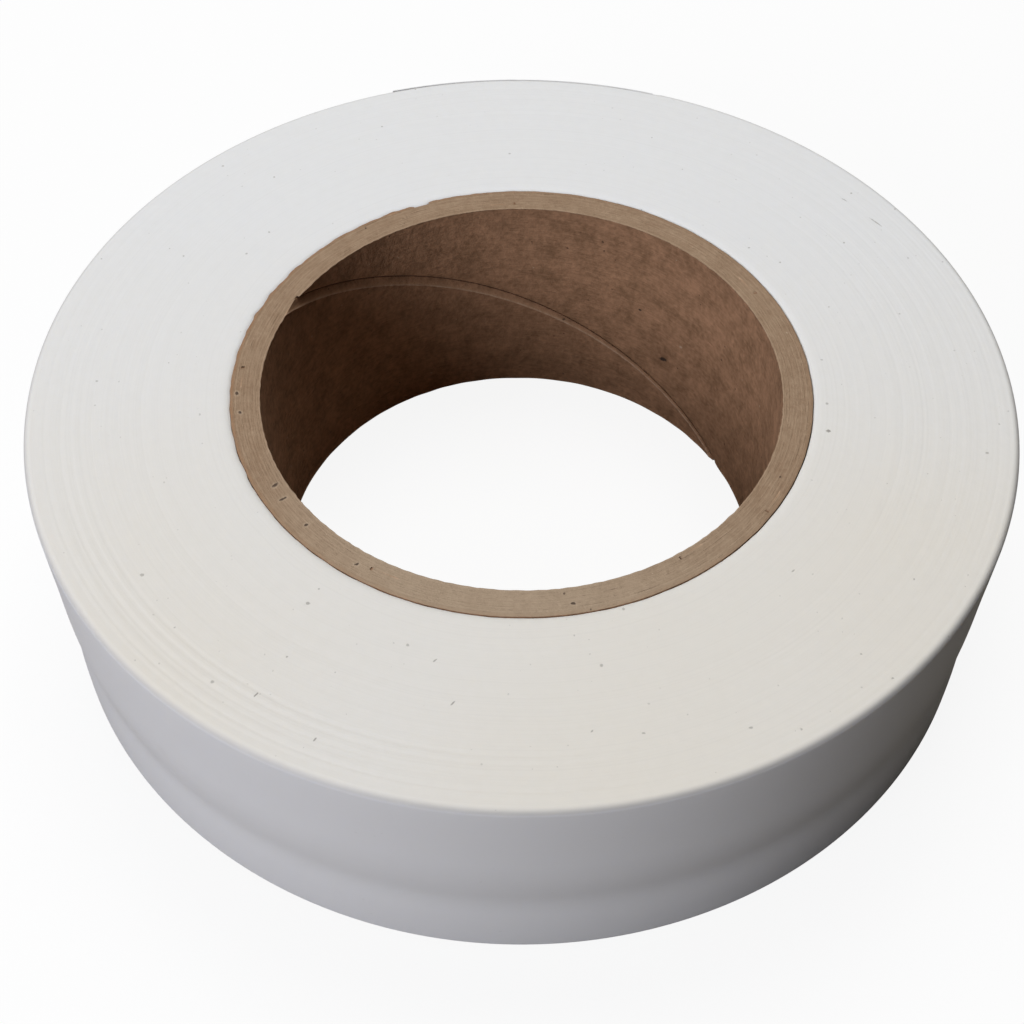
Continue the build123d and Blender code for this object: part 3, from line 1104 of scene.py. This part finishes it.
# %% Make the paper finishes
def paper_finish(name, shade, wall_shade=1.0, has_flecks=False):
    """Kraft paper. The shades make one ply's end darker than the next, and a wall_shade below 1 gives its
    wall painted shade, for the shadow in the liner's seam gap.
    """
    material, tree, shader = new_material(name, Roughness=0.9, Specular_IOR_Level=0.25)
    sawn = mark(tree, "sawn_end")
    here = use_group(tree, place_on_roll)
    streaks = use_group(tree, fibres, {"Turn": 0.06, "Width": 0.20 * MM, "Length": 1.8 * MM})["Value"]
    cloudy = use_group(tree, clouds, {"Size": 3.2 * MM, "Detail": 4.0})["Value"]
    grain = use_group(tree, clouds, {"Size": 0.8 * MM, "Detail": 3.0})["Value"]
    lines = use_group(tree, layer_lines, {"Across": here["Distance"], "Spacing": 0.24 * MM, "Wander": 2.2})
    dark_flecks = use_group(tree, specks, {"Cell": 1.9 * MM, "Share": 0.24, "Size": 0.11})["Mask"]
    pale_flecks = use_group(tree, specks, {"Cell": 2.2 * MM, "Share": 0.2, "Size": 0.09})["Mask"]

    blend = plus(tree, times(tree, cloudy, 0.5), times(tree, grain, 0.35))
    blend = ramp(tree, plus(tree, blend, times(tree, streaks, 0.35)), 0.2, 1.0)
    # Where wall_shade is below 1, the wall takes painted shade.
    wall = colour_mix(tree, wall_shade, GAP_PAINTED_SHADE, colour_mix(tree, blend, BORE_DEEP, BORE_BROWN))
    colour = colour_mix(tree, sawn, wall, sawn_tone(tree, here, blend, shade, lines))
    colour, pits = with_pits(tree, with_torn_and_highlight(tree, colour, grain), sawn)
    dark = maths(tree, "MAXIMUM", times(tree, dark_flecks, 0.7), pits)
    if has_flecks:
        for fleck in BARK_FLECKS:
            dark = maths(tree, "MAXIMUM", dark, fleck_at(tree, here, fleck))
        pale_flecks = maths(tree, "MAXIMUM", pale_flecks, fleck_at(tree, here, PALE_FLECK))
    colour = colour_mix(tree, dark, colour, FLECK_DARK)
    colour = colour_mix(tree, times(tree, pale_flecks, 0.55), colour, FLECK_PALE)
    tree.links.new(colour, shader["Base Color"])

    relief = plus(tree, times(tree, streaks, 0.8), times(tree, grain, 0.9))
    relief = maths(tree, "SUBTRACT", relief, times(tree, dark, 1.2))
    relief = plus(tree, relief, times(tree, lines["Height"], sawn, 0.8))
    bump = put(tree, "ShaderNodeBump", {"Strength": 0.8, "Distance": 0.10 * MM, "Height": relief})
    tree.links.new(bump.outputs["Normal"], shader["Normal"])
    return material


liner_kraft = paper_finish("liner_kraft", 1.0, has_flecks=True)
# Ply 1's wall shows only in the liner's seam gap, where it takes painted shade.
gap_shaded_kraft = paper_finish("gap_shaded_kraft", 0.88, wall_shade=0.25)
outer_kraft = paper_finish("outer_kraft", 0.85)
board_krafts = [paper_finish(f"board_kraft_{n}", shade) for n, shade in enumerate((1.0, 0.88))]

for number, ply in enumerate(plies):
    kraft = board_krafts[number % 2]
    kraft = {0: liner_kraft, 1: gap_shaded_kraft, len(plies) - 1: outer_kraft}.get(number, kraft)
    ply.data.materials.append(kraft)

# %% [markdown]
# ## Adhesive tapes
#
# The tab is clear tape. Over white film, clear tape reads as a slightly warm, glossy patch
# with tiny trapped bubbles, so a glossy coat over a warm white says enough, and it needs no
# real see-through layer. The tape under the first wrap is sealed in the roll. It gets the
# same care at no cost, because it is a plain measured piece with a finish of its own.

# %% Make the tapes' finishes
TAPE_WARM = (0.74, 0.715, 0.64)
TAPE_CLEAR = (0.77, 0.76, 0.72)


def tape_finish(name, roughness):
    material, tree, shader = new_material(name, Coat_Weight=0.6, Coat_Roughness=0.08, IOR=1.47)
    patches = use_group(tree, clouds, {"Size": 6 * MM, "Detail": 3.0})["Value"]
    bubbles = use_group(tree, specks, {"Cell": 1.3 * MM, "Share": 0.35, "Size": 0.22})["Mask"]
    tree.links.new(colour_mix(tree, patches, TAPE_WARM, TAPE_CLEAR), shader["Base Color"])
    tree.links.new(ramp(tree, patches, 0.0, 1.0, roughness, roughness + 0.12), shader["Roughness"])
    height = maths(tree, "ADD", bubbles, maths(tree, "MULTIPLY", patches, 0.6))
    bump = put(tree, "ShaderNodeBump", {"Strength": 0.35, "Distance": 0.04 * MM, "Height": height})
    tree.links.new(bump.outputs["Normal"], shader["Normal"])
    return material


tab.data.materials.append(tape_finish("clear_tape", 0.16))
hidden_tape = frame["nodes"]["start_tape"]
hidden_tape.data.materials.clear()
hidden_tape.data.materials.append(tape_finish("mounting_tape", 0.4))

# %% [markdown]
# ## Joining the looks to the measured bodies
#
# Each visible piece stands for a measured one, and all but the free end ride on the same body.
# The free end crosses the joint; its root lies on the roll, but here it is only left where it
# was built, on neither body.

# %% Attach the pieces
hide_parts("film_pack")
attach(film, hinge["parent"])

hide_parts("film_tail")
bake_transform(tail)

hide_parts("closing_tab")
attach(tab, hinge["child"])

for name, ply in zip(ply_names, plies):
    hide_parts(name)
    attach(ply, hinge["parent"])

# %% [markdown]
# ## Camera, floor and light
#
# The roll is seen from above at about 55 degrees, from a hand's reach away, so that its near
# side looks larger than its far side. The camera is placed by where it stands and by the three
# directions of its own axes. A small lens shift moves the roll down in the frame, where a tilt
# of the camera would change the perspective.

# %% Camera
CAMERA_PLACE = Vector((-1.1, -168.1, 210.8)) * MM
CAMERA_DOWN = math.radians(54.8)
CAMERA_ROLL = math.radians(0.43)
CAMERA_LENS = 57.27  # millimetres, on a sensor 36 wide
CAMERA_SHIFT = 0.125  # share of the frame

forward = Vector((0, math.cos(CAMERA_DOWN), -math.sin(CAMERA_DOWN)))
level_right = Vector((1, 0, 0))
level_up = level_right.cross(forward)
right = level_right * math.cos(CAMERA_ROLL) + level_up * math.sin(CAMERA_ROLL)
up = right.cross(forward)

lens = bpy.data.cameras.new("studio_camera")
lens.sensor_width = 36
lens.lens = CAMERA_LENS
lens.shift_y = CAMERA_SHIFT
lens.clip_start, lens.clip_end = 0.01, 10
camera = bpy.data.objects.new("studio_camera", lens)
bpy.context.scene.collection.objects.link(camera)
camera.matrix_world = Matrix.Translation(CAMERA_PLACE) @ Matrix((right, up, -forward)).transposed().to_4x4()
bpy.context.scene.camera = camera
print("camera looks down by", round(math.degrees(CAMERA_DOWN), 1), "degrees")

# %% [markdown]
# The floor is a pale sheet. It is lit from within a little, like a light table, so that it
# stays near white, and the rest of it is plain paper that takes a soft shadow.

# %% Floor
FLOOR_HALF = 8.0
FLOOR_SHADED_SHARE = 0.10

corners = FLOOR_HALF * np.array([(-1, -1, 0), (1, -1, 0), (1, 1, 0), (-1, 1, 0)])
floor = make_piece("pale_floor", corners, [[0, 1, 2, 3]])
sheet_material = bpy.data.materials.new("pale_sheet")
sheet_material.use_nodes = True
sheet_tree = sheet_material.node_tree
sheet_tree.nodes.remove(sheet_tree.nodes["Principled BSDF"])
paper = put(sheet_tree, "ShaderNodeBsdfDiffuse", {"Color": (0.22, 0.20, 0.175, 1)}).outputs[0]
seen_paper = put(sheet_tree, "ShaderNodeBsdfDiffuse", {"Color": (0.9, 0.9, 0.9, 1)}).outputs[0]
glow = put(sheet_tree, "ShaderNodeEmission", {"Color": (1, 1, 1, 1), "Strength": 1.0}).outputs[0]
seen = put(sheet_tree, "ShaderNodeMixShader", {0: FLOOR_SHADED_SHARE, 1: glow, 2: seen_paper}).outputs[0]
by_camera = put(sheet_tree, "ShaderNodeLightPath").outputs["Is Camera Ray"]
floor_shader = put(sheet_tree, "ShaderNodeMixShader", {0: by_camera, 1: paper, 2: seen}).outputs[0]
sheet_tree.links.new(floor_shader, sheet_tree.nodes["Material Output"].inputs["Surface"])
floor.data.materials.append(sheet_material)

# %% [markdown]
# The light is a studio's: one soft box overhead and a little behind the roll, one in front of
# it on the left, and a little light from all round. The left one is a touch cool, and nothing
# stands on the right, so the roll's side turns from a cool grey to a dark one.

# %% Light
world = bpy.data.worlds.new("studio")
world.use_nodes = True
AMBIENT = 0.02
sky = world.node_tree
seen_sky = put(sky, "ShaderNodeLightPath").outputs["Is Camera Ray"]
sky.links.new(maths(sky, "MAXIMUM", seen_sky, AMBIENT), sky.nodes["Background"].inputs["Strength"])
sky.nodes["Background"].inputs["Color"].default_value = (1, 1, 1, 1)
bpy.context.scene.world = world


def soft_box(name, place, aim, size, watts, colour):
    """A square soft light at place that points at aim."""
    light = bpy.data.lights.new(name, "AREA")
    light.size = size
    light.energy = watts
    light.color = colour
    lamp = bpy.data.objects.new(name, light)
    bpy.context.scene.collection.objects.link(lamp)
    lamp.location = place
    lamp.rotation_euler = (Vector(aim) - Vector(place)).to_track_quat("-Z", "Y").to_euler()
    return lamp


soft_box("top_box", (-0.02, 0.40, 0.92), (0, 0, 0.02), 0.6, 7.65, (1.0, 1.0, 0.985))
soft_box("left_box", (-0.60, -0.66, 0.42), (0, 0, 0.02), 0.5, 6.1, (0.915, 0.93, 1.0))
bpy.context.scene.view_settings.view_transform = "Standard"
